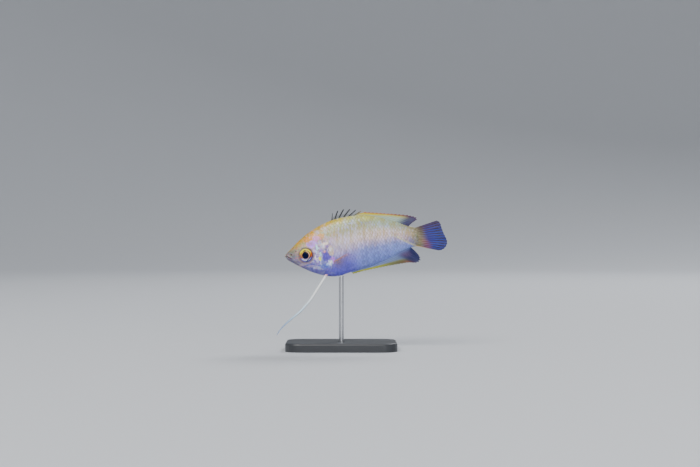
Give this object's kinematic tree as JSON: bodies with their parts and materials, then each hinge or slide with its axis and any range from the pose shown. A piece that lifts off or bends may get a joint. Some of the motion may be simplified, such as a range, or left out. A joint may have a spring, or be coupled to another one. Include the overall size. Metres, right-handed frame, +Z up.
{
  "type": "honey gourami fish model",
  "caption": "Life-size honey gourami swimming head down, with spread fins and long thread feelers, held over a flat display base by a thin rod",
  "frame": {"origin": "centre of the underside of the stand's base", "axes": "+Z up, the fish faces -X, its left side faces -Y"},
  "size_m": [0.0524, 0.021, 0.0432],
  "materials": {
    "skin": "wet scales, pale gold to lavender",
    "head": "wet skin, orange gold",
    "gill": "pearly gill cover",
    "eye": "wet eye, gold and orange iris",
    "fin": "yellow fin with orange edge",
    "tail_fin": "clear web with brown red rays",
    "clear_fin": "clear fin",
    "thread": "pale feeler",
    "base": "satin",
    "rod": "brushed"
  },
  "bodies": {
    "root": {"head": "head", "lower_jaw": "head", "gill_cover_left": "gill", "gill_cover_right": "gill", "eye_left": "eye", "eye_right": "eye", "trunk": "skin", "tail_stalk": "skin", "dorsal_fin": "fin", "anal_fin": "fin", "caudal_fin": "tail_fin", "pectoral_fin_left": "clear_fin", "pectoral_fin_right": "clear_fin", "pelvic_thread_left": "thread", "pelvic_thread_right": "thread", "stand_base": "base", "stand_rod": "rod"}
  },
  "joints": []
}
